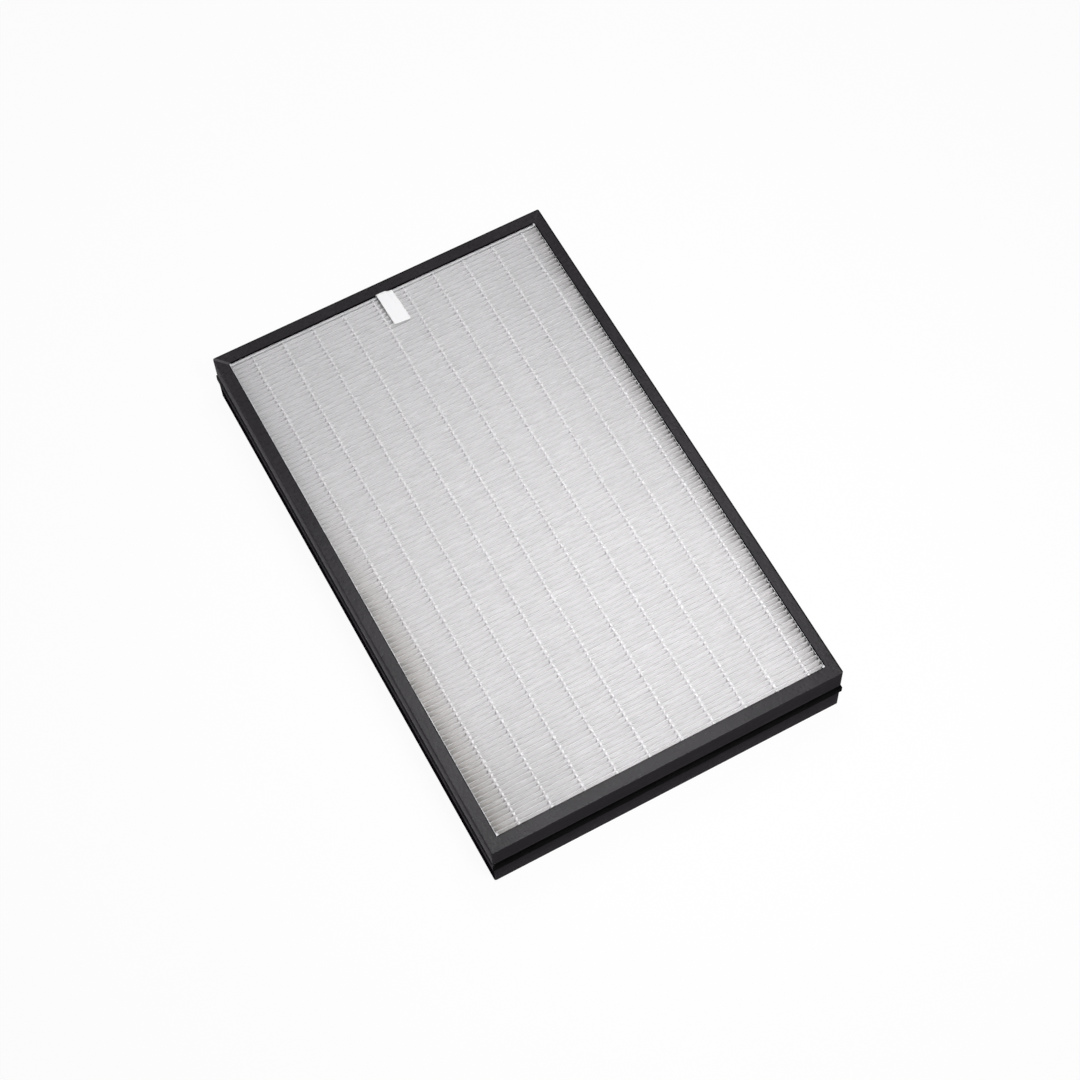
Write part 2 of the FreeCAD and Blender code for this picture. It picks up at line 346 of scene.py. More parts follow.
# The upper left wall is painted lighter, as painted light, and the lower left wall darker, as painted shade.
long_wall_painted_light_finish = board_coating("board_long_wall_painted_light", roughness=0.70, shine=0.05, depth=1.1)
dull_wall_painted_shade_finish = board_coating("board_dull_wall_painted_shade", roughness=0.95, shine=0.0, depth=0.42)
WALLS = {"upper_frame_left": long_wall_painted_light_finish, "lower_frame_left": dull_wall_painted_shade_finish}

# %% Cut edge of the board: paler, fibrous
edge_finish, tree, shader = finish("board_cut_edge", roughness=0.8, shine=0.3)
layers = grain(tree, 700, stretch=(1, 1, 5), detail=4)
coat(tree, shader, shades(tree, layers, (0.3, (0.045, 0.043, 0.045)), (0.7, (0.11, 0.105, 0.10))))
bump(tree, shader, layers, 0.1 * MM)


# %% Gasket foam: black, closed cells
def foam(name, dark, light):
    """Closed-cell foam, from the colour of its cell walls to that of its cells."""
    material, tree, shader = finish(name, roughness=0.95, shine=0.01)
    cells = pattern(tree, "ShaderNodeTexVoronoi", Scale=1300.0)["Distance"]
    tint = shades(tree, cells, (0.1, dark), (0.8, light))
    dusted = tinted(tree, tint, grain(tree, 60, detail=4), (0.35, 0.8), (0.7, (1.35, 1.3, 1.3)))
    coat(tree, shader, dusted, spread(tree, cells, 0.88, 1.0))
    bump(tree, shader, grain(tree, 70), 0.4 * MM)
    bump(tree, shader, cells, 0.18 * MM)
    return material


foam_finish = foam("gasket_foam", (0.0014, 0.0014, 0.0016), (0.0048, 0.0048, 0.005))
# The foam on the left side is painted much lighter: painted light.
painted_light_foam_finish = foam("dusty_gasket_foam", (0.036, 0.034, 0.037), (0.085, 0.080, 0.087))

# %% Filter paper: where a point lies on the folded sheet
paper_finish, tree, shader = finish("filter_paper", roughness=0.9, shine=0.2)
felt = grain(tree, 700, stretch=(0.6, 1, 1), detail=5)
streaks = grain(tree, 90, stretch=(0.5, 2.2, 0.3))
axes = axes_of(tree)


def patch(x_range, y_range):
    """A part of the sheet with soft edges, 1 past the end of both ranges."""
    steps = [ramp_along(tree, axes[name], *ends) for name, ends in (("X", x_range), ("Y", y_range))]
    return combine(tree, "MULTIPLY", *steps)


# The tips take painted shade and the valleys painted light, against the shade the folds cast on each other.
on_tip = ramp_along(tree, axes["Z"], 0.0490, 0.0500)
far_side = ramp_along(tree, axes["Y"], 0.0, 0.20)
right_side = ramp_along(tree, axes["X"], 0.0, 0.10)
# Patches of painted shade, slightly warm at the near left.
near_left_shade = patch((-0.100, -0.126), (0.10, -0.06))
near_corner_shade = patch((-0.03, -0.12), (-0.12, -0.20))
far_right_shade = patch((0.055, 0.10), (-0.12, 0.02))
across = combine(tree, "ABSOLUTE", axes["X"])
# Masks for painted shade towards the free ends of the folds under the flanges, strongest in the gaps.
to_the_end = ramp_along(tree, across, 0.104, 0.1285, "LINEAR")
ragged = combine(tree, "ADD", across, spread(tree, streaks, -0.006, 0.006))
gap_shade_strength = combine(tree, "MAXIMUM", near_left_shade, spread(tree, right_side, 0.15, 1.0))
gap_shade_mask = combine(tree, "MULTIPLY", ramp_along(tree, ragged, 0.1175, 0.1275), gap_shade_strength)

# %% Filter paper: white glass fibre felt, painted light in the valleys, painted shade on tips, ends and patches
# Valley colour, lighter than the tips: painted light.
inside = shades(tree, felt, (0.3, (0.903, 0.890, 0.899)), (0.7, (0.931, 0.918, 0.927)))
# Painted shade towards the free ends.
inside = tinted(tree, inside, to_the_end, (0.0, 1.0), (0.5, 0.985), (0.75, 0.965), (0.9, 0.94), (1.0, 0.90))
# Painted shade at the far end.
inside = tinted(tree, inside, far_side, (0.0, 1.0), (1.0, (0.967, 0.968, 0.970)))
# Painted shade in the gaps near the free ends.
shaded = tinted(tree, inside, streaks, (0.4, (0.68, 0.67, 0.66)), (0.6, (0.95, 0.94, 0.935)))
inside = blend(tree, gap_shade_mask, inside, shaded)
# Tip colour, darker than the valleys: painted shade.
near_tip = shades(tree, felt, (0.3, (0.628, 0.617, 0.628)), (0.7, (0.658, 0.646, 0.658)))
far_tip = shades(tree, felt, (0.3, (0.625, 0.616, 0.628)), (0.7, (0.655, 0.645, 0.658)))
tip = blend(tree, far_side, near_tip, far_tip)
# Painted shade on the tips towards the free ends.
tip = tinted(tree, tip, to_the_end, (0.0, 1.0), (0.5, 0.95), (0.75, 0.86), (0.9, 0.79), (1.0, 0.74))
folded = blend(tree, on_tip, inside, tip)
# Painted shade in the patches near left, near the left corner and far right.
folded = tinted(tree, folded, near_left_shade, (0.0, 1.0), (1.0, (0.905, 0.893, 0.873)))
folded = tinted(tree, folded, near_corner_shade, (0.0, 1.0), (1.0, (0.925, 0.925, 0.923)))
folded = tinted(tree, folded, far_right_shade, (0.0, 1.0), (1.0, 0.968))
folded = tinted(tree, folded, streaks, (0.3, 0.96), (0.7, 1.0))
coat(tree, shader, folded)
bump(tree, shader, felt, 0.03 * MM)

# %% Spacer glue and seal glue: satin, with slow waves. Between the folds the spacer glue is painted lighter, as painted light.
glue_finish, tree, shader = finish("spacer_glue", roughness=0.5, shine=0.35)
waves = grain(tree, 160)
# Glue between the folds, painted lighter than on the tips: painted light.
deep_glue_painted_light = shades(tree, waves, (0.3, (0.93, 0.92, 0.93)), (0.7, (0.96, 0.95, 0.96)))
top_glue = shades(tree, waves, (0.3, (0.66, 0.65, 0.66)), (0.7, (0.75, 0.74, 0.75)))
glue = blend(tree, ramp_along(tree, axes_of(tree)["Z"], 0.0485, 0.0495), deep_glue_painted_light, top_glue)
coat(tree, shader, glue, spread(tree, waves, 0.42, 0.6))
bump(tree, shader, waves, 0.2 * MM)

seal_finish, tree, shader = finish("seal_glue", roughness=0.45, shine=0.4)
waves = grain(tree, 220)
seal = shades(tree, waves, (0.3, (0.62, 0.62, 0.64)), (0.7, (0.80, 0.80, 0.82)))
coat(tree, shader, seal, spread(tree, waves, 0.38, 0.6))
bump(tree, shader, waves, 0.2 * MM)

# %% Tab cloth: white, woven
cloth_finish, tree, shader = finish("tab_cloth", roughness=0.75, shine=0.25)
across, along = (pattern(tree, "ShaderNodeTexWave", wave_type="BANDS", bands_direction=direction, Scale=620.0)
                 for direction in "XY")
weave = combine(tree, "MULTIPLY", across["Fac"], along["Fac"])
cloth = shades(tree, grain(tree, 90), (0.3, (0.965, 0.960, 0.970)), (0.7, (0.980, 0.975, 0.985)))
coat(tree, shader, tinted(tree, cloth, weave, (0.0, 0.985), (1.0, 1.0)))
bump(tree, shader, weave, 0.04 * MM)

# %% Net and carbon: black plastic strands, black granules
net_finish, tree, shader = finish("net", roughness=0.55, shine=0.4)
strands = grain(tree, 500, detail=4)
plastic = shades(tree, strands, (0.3, (0.028, 0.028, 0.029)), (0.7, (0.050, 0.050, 0.051)))
coat(tree, shader, plastic, spread(tree, strands, 0.45, 0.65))
bump(tree, shader, strands, 0.1 * MM)

carbon_finish, tree, shader = finish("carbon", roughness=0.7, shine=0.5)
granules = pattern(tree, "ShaderNodeTexVoronoi", Scale=620.0)
black = shades(tree, granules["Color"], (0.1, 0.006), (0.9, (0.035, 0.034, 0.033)))
coat(tree, shader, black, spread(tree, granules["Distance"], 0.45, 0.9))
bump(tree, shader, granules["Distance"], -0.6 * MM)
print("finishes:", len(bpy.data.materials))

# %% [markdown]
# ## From a bmesh to a piece
# A finished piece keeps its place in its mesh: its object is at the origin and isn't turned. Each new piece
# takes the place of the CAD node that has its name, and rides on the one body of the filter.
#
# The strips along the sides are all made as the right-hand side, along Y, and then turned to their own side.


# %% Helpers for the pieces: from a bmesh to an object
def make_piece(name, shape, finishes, nodes, smooth_angle=40):
    """Turns a bmesh into a piece that replaces CAD nodes."""
    bmesh.ops.recalc_face_normals(shape, faces=shape.faces[:])
    open_edges = sum(1 for edge in shape.edges if not edge.is_manifold)
    mesh = bpy.data.meshes.new(name)
    shape.to_mesh(mesh)
    shape.free()
    for material in finishes:
        mesh.materials.append(material)
    mesh.shade_smooth()
    mesh.set_sharp_from_angle(angle=math.radians(smooth_angle))
    piece = bpy.data.objects.new(name, mesh)
    bpy.context.scene.collection.objects.link(piece)
    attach(piece, "root")
    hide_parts(*nodes)
    print(name, "faces:", len(mesh.polygons), "open edges:", open_edges)
    return piece


# %% Helpers for the pieces: strips along the sides
OUTWARDS = {"right": 0, "far": 90, "left": 180, "near": 270}


def side_sizes(node):
    """Side of a CAD strip, and how far it reaches: outwards, along, down, up and inwards."""
    side = node.split("_")[-1]
    low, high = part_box(node)
    size = high - low
    across, along = (0, 1) if side in ("left", "right") else (1, 0)
    outer = max(abs(low[across]), abs(high[across]))
    return side, outer, high[along], low.z, high.z, size[across]


def turn_outwards(shape, side):
    """Turns a shape that was made as the right-hand side to its own side."""
    bmesh.ops.rotate(shape, verts=shape.verts[:], cent=(0, 0, 0),
                     matrix=Matrix.Rotation(math.radians(OUTWARDS[side]), 3, "Z"))


def sweep(shape, rim, steps, stride):
    """Extrudes a loop of edges along Y in equal strides."""
    for _ in range(steps):
        swept = bmesh.ops.extrude_edge_only(shape, edges=rim)["geom"]
        moved = [item for item in swept if isinstance(item, bmesh.types.BMVert)]
        bmesh.ops.translate(shape, verts=moved, vec=(0, stride, 0))
        fresh = set(moved)
        edges = [item for item in swept if isinstance(item, bmesh.types.BMEdge)]
        rim = [edge for edge in edges if fresh.issuperset(edge.verts)]


def sweep_section(shape, half_length, steps=1):
    """Takes the face off a section and sweeps its outline from one end of a strip to the other."""
    bmesh.ops.delete(shape, geom=shape.faces[:], context="FACES_ONLY")
    sweep(shape, shape.edges[:], steps, 2 * half_length / steps)


def split(shape, place, direction, cut_off=False, cap=0):
    """Draws a line round a shape where a plane meets it, or cuts it off there and closes the opening."""
    everything = shape.verts[:] + shape.edges[:] + shape.faces[:]
    cut = bmesh.ops.bisect_plane(shape, geom=everything, dist=1e-7, plane_co=place,
                                 plane_no=Vector(direction).normalized(), clear_outer=cut_off)
    if cut_off:
        rim = [item for item in cut["geom_cut"] if isinstance(item, bmesh.types.BMEdge)]
        for face in bmesh.ops.contextual_create(shape, geom=rim)["faces"]:
            face.material_index = cap


# The faces of a strip take its finishes in this order: flanges, cut ends, outer wall, and lips, rim and creases
# with painted shade.
FLANGE_FACE, CUT_FACE, WALL_FACE, PAINTED_SHADE_FACE = 0, 1, 2, 3


def cut_mitre(shape, outer, reach, slope):
    """Cuts both ends of a strip at its mitre lines and closes them."""
    for end in (1, -1):
        split(shape, (outer, end * reach, 0), (-slope, end, 0), cut_off=True, cap=CUT_FACE)


# %% [markdown]
# ## Frame boards
# Each tier is held by four strips of coated card, folded to a channel and mitred at the corners. A maker
# creases the board, so the folds are round and not sharp. Here a channel section is drawn once, its folds are
# bevelled, and it is swept along the side and cut at the mitres, with a small slant off each outer corner.
# Lines beside the folds and mitres carry the wear, and the folds also a painted highlight. The rim round the
# window, the inner lips and the creases that the lamps would light too much take a duller finish with painted
# shade.

# %% Frame boards: sizes
BOARD = 1.5 * MM
FOLD = 0.5 * MM
CORNER_CUT = 1.2 * MM
CORNER_SLANT = math.radians(30)
LIP_EDGE = 0.25 * MM
FLANGE = {"right": 9 * MM, "left": 9 * MM, "near": 10 * MM, "far": 10 * MM}
# How far the folds are rubbed and carry a painted highlight, and how much painted light some walls carry up to
# 7 mm.
FOLD_WEAR_AND_HIGHLIGHT = 0.12
PAINTED_LIGHT_HEIGHT = 7 * MM
WALL_PAINTED_LIGHT = {"upper_frame_left": 1.1, "lower_frame_near": 0.14, "lower_frame_right": 0.14}
# Boards whose outer crease takes painted shade, its width, and the width of the painted shade round the window.
SHADED_FOLDS = ("upper_frame_far", "upper_frame_right")
SHADED_CREASE = 1.1 * MM
SHADED_RIM = 0.6 * MM
# Lines are drawn this far from each outer fold, up from the lower fold, and from each mitre.
FOLD_LOOP = 2 * MM
WALL_LOOP = 6 * MM
MITRE_LOOP = 1.3 * MM
# How near a vertex is that counts as on the wall or the mitre line, on a fold, and on the upper side.
CLOSE = 0.1 * MM
FOLD_REACH = 0.6 * MM
TOP_REACH = 0.4 * MM
# How far the mitre of each corner is rubbed, at both ends of each side as it was made.
MITRE_WEAR = {"far": {1: 4.0, -1: 0.2}, "left": {1: 0.3, -1: 4.0}, "near": {1: 0.15, -1: 0.3},
              "right": {1: 0.2, -1: 0.15}}


# %% Frame boards: form
def mitre_slope(side, flange):
    """How far a mitre runs along a board for each step across it, so that it meets its neighbour's."""
    return FLANGE["near" if side in ("left", "right") else "left"] / flange


def channel_section(outer, low, high, flange):
    """Outline of a channel that is open inwards, its outer corners first."""
    inner = outer - flange
    wall = outer - BOARD
    return [(outer, low), (outer, high), (inner, high), (inner, high - BOARD), (wall, high - BOARD),
            (wall, low + BOARD), (inner, low + BOARD), (inner, low)]


def board_shape(node):
    """A folded and mitred channel with the sizes of its CAD node, made as the right-hand side."""
    side, outer, reach, low, high, flange = side_sizes(node)
    slope = mitre_slope(side, flange)
    long_enough = reach + 2 * MM
    shape = bmesh.new()
    corners = [shape.verts.new((out, -long_enough, height))
               for out, height in channel_section(outer, low, high, flange)]
    shape.faces.new(corners)
    bmesh.ops.bevel(shape, geom=corners[:2], affect="VERTICES", offset=FOLD, segments=5, profile=0.5,
                    material=-1)
    lips = [vert for vert in shape.verts if abs(vert.co.x - (outer - flange)) < 1e-6]
    bmesh.ops.bevel(shape, geom=lips, affect="VERTICES", offset=LIP_EDGE, segments=2, profile=0.5,
                    material=-1)
    sweep_section(shape, long_enough)
    for place in (outer - FOLD_LOOP, outer - SHADED_CREASE, outer - flange + SHADED_RIM):
        split(shape, (place, 0, 0), (1, 0, 0))
    for level in (low + FOLD_LOOP, low + WALL_LOOP, high - FOLD_LOOP):
        split(shape, (0, 0, level), (0, 0, 1))
    cut_mitre(shape, outer, reach, slope)
    for end in (1, -1):
        split(shape, (outer, end * (reach - CORNER_CUT), 0),
              (math.cos(CORNER_SLANT), end * math.sin(CORNER_SLANT), 0), cut_off=True, cap=WALL_FACE)
        split(shape, (outer, end * (reach - MITRE_LOOP), 0), (-slope, end, 0))
    return shape


# %% Frame boards: finishes and wear
def sort_faces(shape, node):
    """Gives each face of a board the place of its finish."""
    side, outer, reach, low, high, flange = side_sizes(node)
    shape.normal_update()
    for face in shape.faces:
        middle = face.calc_center_median()
        # The inner lips, the rim round the window and these creases take the finish with painted shade.
        crease = node in SHADED_FOLDS and middle.x > outer - SHADED_CREASE and middle.z > high - FOLD
        rim = abs(face.normal.z) > 0.7 and middle.x < outer - flange + SHADED_RIM
        if face.material_index == FLANGE_FACE and (face.normal.x < -0.7 or crease or rim):
            face.material_index = PAINTED_SHADE_FACE
        elif face.material_index == FLANGE_FACE and face.normal.x > 0.7:
            face.material_index = WALL_FACE


def rub(shape, node):
    """Stores on each vertex of a board how far its coating is rubbed, and how much painted light it carries."""
    side, outer, reach, low, high, flange = side_sizes(node)
    slope = mitre_slope(side, flange)
    wear_and_light = shape.verts.layers.float.new("wear_and_light")
    for vert in shape.verts:
        on_wall = outer - vert.co.x < CLOSE
        from_fold = max(outer - vert.co.x, min(vert.co.z - low, high - vert.co.z))
        # The lower part of some walls is lightened: painted light.
        rubbed_or_lit = WALL_PAINTED_LIGHT.get(node, 0) if on_wall and vert.co.z - low < PAINTED_LIGHT_HEIGHT else 0
        end = 1 if vert.co.y > 0 else -1
        from_mitre = reach - end * vert.co.y - (outer - vert.co.x) * slope
        on_mitre = abs(from_mitre) < CLOSE and high - vert.co.z < TOP_REACH
        # The folds are lightened for wear and as a painted highlight.
        fold_wear_and_highlight = FOLD_WEAR_AND_HIGHLIGHT if from_fold < FOLD_REACH and node != "lower_frame_left" else 0
        vert[wear_and_light] = max(rubbed_or_lit, fold_wear_and_highlight, MITRE_WEAR[side][end] if on_mitre else 0)


def frame_board(node):
    """One board in the place of its CAD node."""
    shape = board_shape(node)
    sort_faces(shape, node)
    rub(shape, node)
    turn_outwards(shape, node.split("_")[-1])
    wall = WALLS.get(node, upper_wall_finish if node.startswith("upper") else lower_wall_finish)
    finishes = (flange_finish, edge_finish, wall, lip_painted_shade_finish)
    return make_piece("board_" + node.replace("_frame", ""), shape, finishes, [node])


for tier in ("upper", "lower"):
    for side in OUTWARDS:
        frame_board("%s_frame_%s" % (tier, side))

# %% [markdown]
# ## Foam gasket
# A soft black foam ring separates the tiers. Its lip stands a little out of the frame and seals against the
# housing. Foam is cut, not moulded, so its edges are slightly rounded and its faces wander by a tenth of a
# millimetre. The section is swept in short steps, and the steps are moved by slow noise.

# %% Gasket
NECK_BACK = 1.4 * MM
LIP_HEIGHT = 7.8 * MM
LIP_ROUND = 0.9 * MM
FOAM_STEPS = 40
# The foam lies back by this much on average, and wanders by this much to both sides.
FOAM_BACK, FOAM_WANDER = 0.15 * MM, 0.25 * MM


def gasket_strip(node):
    """One side of the gasket, with a rounded lip and a neck that stands back."""
    side, outer, reach, low, high, depth = side_sizes(node)
    neck = outer - NECK_BACK
    inner = outer - depth
    lip_top = low + LIP_HEIGHT
    shape = bmesh.new()
    section = [(outer, low), (outer, lip_top), (neck, lip_top), (neck, high), (inner, high), (inner, low)]
    long_enough = reach + 1 * MM
    corners = [shape.verts.new((out, -long_enough, height)) for out, height in section]
    shape.faces.new(corners)
    bmesh.ops.bevel(shape, geom=corners[:2], affect="VERTICES", offset=LIP_ROUND, segments=4, profile=0.5,
                    material=-1)
    sweep_section(shape, long_enough, FOAM_STEPS)
    for vert in shape.verts:
        if vert.co.x > neck - 0.1 * MM:
            slow = noise.noise(Vector((vert.co.x * 40, vert.co.y * 55 + OUTWARDS[side], vert.co.z * 90)))
            vert.co.x -= FOAM_BACK + FOAM_WANDER * slow
    cut_mitre(shape, outer, reach, 1.0)
    turn_outwards(shape, side)
    # The left side takes the foam with painted light.
    material = painted_light_foam_finish if side == "left" else foam_finish
    piece = make_piece("foam_" + node, shape, (material, material), [node])
    return piece


for side in OUTWARDS:
    gasket_strip("gasket_" + side)

# %% [markdown]
# ## Pleated filter paper
# One sheet of white felt is folded to and fro more than a hundred times. It could be drawn fold by fold, but
# it is simpler to do what the folding machine does: take a flat grid, and lay each row of it at its place on
# the fold line. Real folds aren't straight: they sway by a fraction of a millimetre, some tips lie a little
# lower, and the free ends pinch together. A Solidify modifier gives the sheet its thickness.

# %% Fold line, seen from the side
paper_low, paper_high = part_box("filter_paper")
PAPER = 0.4 * MM
FOLDS = 110
TIP_RADIUS = 0.6 * MM
pitch = (paper_high.y - paper_low.y) / FOLDS
crest = paper_high.z - PAPER / 2
valley = paper_low.z + PAPER / 2
print("fold pitch, mm:", round(pitch / MM, 3))

half_way = (crest + valley) / 2
tip_turn = [math.radians(angle) for angle in (90, 45, 0, -45, -90)]
low_tip = [(-TIP_RADIUS * math.sin(turned), valley + TIP_RADIUS - TIP_RADIUS * math.cos(turned))
           for turned in tip_turn]
high_tip = [(pitch / 2 - TIP_RADIUS * math.sin(turned), crest - TIP_RADIUS + TIP_RADIUS * math.cos(turned))
            for turned in tip_turn]
fold_line = low_tip[2:] + [(pitch / 4, half_way)] + high_tip + [(pitch * 3 / 4, half_way)]
fold_line += [(along + pitch, height) for along, height in low_tip[:2]]
steps_per_fold = len(fold_line)

# %% Places of the glue lines
THREADS = ["upper_bead_%02d" % number for number in range(1, 11)]
glue_lines = []
for node in THREADS:
    low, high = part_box(node)
    glue_lines.append((low.x + high.x) / 2)
print("glue lines at, mm:", [round(x / MM, 1) for x in glue_lines])

# %% How the folds move
# How far the folds sway and their tips sag, and how far they pinch together at the left and the right end.
SWAY = 0.32 * MM
SAG = 0.35 * MM
PINCH = {-1: 0.22 * MM, 1: 0.2 * MM}
PINCH_REACH = 20 * MM
# The share of their movement that the folds lose at the far end and beside the flanges: from this share of
# the sheet's length on, and from this far off its middle, and over these distances.
CALM = 0.85
CALM_FROM, CALM_OVER = 0.55, 0.25
SIDE_FROM, SIDE_OVER = 95 * MM, 20 * MM

chance = random.Random(7)
pinch = {end: [chance.uniform(-1, 1) for _ in range(2 * FOLDS + 1)] for end in (-1, 1)}


def unrest(x, tip):
    """How freely the folds move: less at the far end and beside the flanges."""
    far = min(max((tip / (2 * FOLDS) - CALM_FROM) / CALM_OVER, 0), 1)
    end = min(max((abs(x) - SIDE_FROM) / SIDE_OVER, 0), 1)
    return 1 - CALM * max(far, end)


def sway(x, tip):
    """How far a fold tip leaves its even place, along Y. Tips are counted from the first lower one."""
    bow = SWAY * unrest(x, tip) * noise.noise(Vector((x * 38, tip * 0.35, 0)))
    beyond = max(0.0, glue_lines[0] - x, x - glue_lines[-1])
    end = -1 if x < 0 else 1
    pinched = pinch[end][tip] * (1.0 if tip % 2 else 0.4)
    return bow + PINCH[end] * pinched * min((beyond / PINCH_REACH) ** 1.5, 1)


# %% Folded sheet
ACROSS = 32

paper_shape = bmesh.new()
rows = FOLDS * steps_per_fold
bmesh.ops.create_grid(paper_shape, x_segments=ACROSS, y_segments=rows, size=0.5)
half_width = (paper_high.x - paper_low.x) / 2
margin = PAPER / 2
for vert in paper_shape.verts:
    row = round((vert.co.y + 0.5) * rows)
    fold, step = divmod(row, steps_per_fold)
    along, height = fold_line[step]
    x = vert.co.x * 2 * half_width
    tips = {(row + 2) // (steps_per_fold // 2), (row + 3) // (steps_per_fold // 2)}
    drift = sum(sway(x, tip) for tip in tips) / len(tips)
    y = paper_low.y + fold * pitch + along + drift
    raised = max(0.0, (height - half_way) / (crest - half_way))
    sag = SAG * unrest(x, max(tips)) ** 2
    height -= sag * raised * max(0.0, noise.noise(Vector((x * 36, max(tips) * 0.6, 9))))
    vert.co = (x, min(max(y, paper_low.y + margin), paper_high.y - margin), height)
print("paper faces:", len(paper_shape.faces))
paper = make_piece("pleated_paper", paper_shape, (paper_finish,), ["filter_paper"], 60)
thickness = paper.modifiers.new("felt", "SOLIDIFY")
thickness.thickness = PAPER
thickness.offset = 0

# %% [markdown]
# ## Spacer glue
# Before the sheet is folded, thin threads of hot glue are laid on it. They meet inside each fold and keep the
# folds apart, and from above they show as pale dashed lines. Each thread here is a rope that climbs over the
# tips and dips a little between them, and its thickness varies. Below, a foot reaches down between the folds
# and spreads there, as glue that wets the paper does: a thread that stayed at the tips would leave a dark
# hollow beside it.


# %% Helpers for the glue
def rope(segments, stations):
    """An open tube of radius 1 along Y, with a ring of points at each whole number."""
    shape = bmesh.new()
    bmesh.ops.create_circle(shape, cap_ends=False, segments=segments, radius=1)
    bmesh.ops.rotate(shape, verts=shape.verts[:], cent=(0, 0, 0), matrix=Matrix.Rotation(math.pi / 2, 3, "X"))
    sweep(shape, shape.edges[:], stations, 1)
    return shape


def close_ends(shape):
    """Closes the open ends of a tube."""
    rims = [edge for edge in shape.edges if edge.is_boundary]
    bmesh.ops.holes_fill(shape, edges=rims, sides=0)


# %% Spacer glue, upper side
GLUE_DIP = 0.45 * MM
FOOT_DEPTH = 1.7 * MM
FOOT_SPREAD = 1.1
GLUE_WANDER = 0.5 * MM


def glue_thread(number, node):
    """One thread of spacer glue over the folds."""
    low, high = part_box(node)
    middle = (low.x + high.x) / 2
    stations = FOLDS * 4
    shape = rope(8, stations)
    for vert in shape.verts:
        station = round(vert.co.y)
        y = low.y + (high.y - low.y) * station / stations
        phase = math.cos(2 * math.pi * ((y - paper_low.y) / pitch - 0.5))
        blob = noise.noise(Vector((number * 7.3, y * 260, 0)))
        wander = noise.noise(Vector((number * 3.1, y * 30, 5)))
        near = 0.5 - y / 0.44
        # Half the width and half the height, with what the blobs and the tips add.
        wide = (0.92 + 0.4 * blob + 0.1 * phase) * MM
        tall = (0.5 + 0.15 * blob) * MM
        top = crest + (0.35 * blob - 0.24 * near) * MM - (1 - phase) / 2 * GLUE_DIP
        deep = tall if vert.co.z > 0 else FOOT_DEPTH
        foot = 1 + FOOT_SPREAD * max(0, -vert.co.z)
        vert.co = (middle + GLUE_WANDER * wander + vert.co.x * wide * foot, y, top - tall + vert.co.z * deep)
    close_ends(shape)
    return make_piece("glue_" + node, shape, (glue_finish,), [node], 80)


for number, node in enumerate(THREADS, 1):
    glue_thread(number, node)

# %% [markdown]
# ## Seal along the flange
# A run of clear white glue closes the corner between the flange and the folds. It is laid by hand or by a
# nozzle, so it swells and thins, and a small blob stays where two runs meet.

# %% Edge seals
# Width, height and distance from the edge of the flange in mm, and how large the blobs at both ends are.
SEAL_WIDTH = {"left": 0.65, "far": 1.1, "near": 0.4, "right": 0.35}
SEAL_HEIGHT = {"left": 0.9, "far": 0.45, "near": 0.5, "right": 0.4}
SEAL_GAP = {"left": -0.1, "far": 0.85, "near": -0.1, "right": -0.1}
BLOB = {"left": (1.0, 1.6), "near": (1.6, 1.3), "right": (1.2, 1.3), "far": (0.4, 0.4)}
BLOB_RADIUS = 0.8 * MM
SEAL_STATIONS = 160


def seal_run(side):
    """Half-round glue along one inner edge of the upper flange."""
    node = "edge_seal_" + side
    side, outer, reach, low, high, width = side_sizes(node)
    shape = rope(10, SEAL_STATIONS)
    for vert in shape.verts:
        station = round(vert.co.y)
        y = -reach + 2 * reach * station / SEAL_STATIONS
        slow = noise.noise(Vector((OUTWARDS[side] * 0.13, y * 60, 2)))
        quick = noise.noise(Vector((OUTWARDS[side] * 0.29, y * 300, 8)))
        wide = SEAL_WIDTH[side] * (1 + 0.35 * slow + 0.2 * quick) * MM
        tall = SEAL_HEIGHT[side] / 2 * (1 + 0.4 * slow + 0.2 * quick) * MM
        out = outer - SEAL_GAP[side] * MM - wide / 2 + vert.co.x * wide / 2
        vert.co = (out, y, low + tall + vert.co.z * tall)
    close_ends(shape)
    for end, size in zip((-1, 1), BLOB[side]):
        made = bmesh.ops.create_icosphere(shape, subdivisions=2, radius=BLOB_RADIUS)
        place = Matrix.Translation((outer - 0.5 * MM, end * (reach - 0.6 * MM), low + 0.4 * MM))
        form = Matrix.Diagonal((size, size * 1.3, 0.9 * size, 1))
        bmesh.ops.transform(shape, matrix=place @ form, verts=made["verts"])
    turn_outwards(shape, side)
    return make_piece("glue_" + node, shape, (seal_finish,), [node], 80)


for side in OUTWARDS:
    seal_run(side)

# %% [markdown]
# ## Pull tab
# A short strip of white cloth tape comes out from under the far flange and lies loosely on the folds, to
# pull the filter out of its housing. Stiff tape doesn't bend sharply: it stands up in front of the flange
# and leans over its edge before it comes down. So its line is drawn as a smooth curve along a few heights,
# seen from the side, and a grid is laid along it. A Solidify modifier makes it a sheet.

# %% Line of the tape, seen from the side
# Y and Z of the points that the curve is drawn to, in mm, from under the flange to the free end.
TAPE_LINE = [(217.2, 50.33), (213.4, 50.33), (211.9, 51.0), (211.5, 52.6), (211.9, 53.9), (211.2, 54.7),
             (209.3, 54.6), (205.5, 53.9), (201.0, 53.2), (196.0, 52.4), (191.0, 51.8), (186.5, 51.3),
             (182.4, 51.0)]


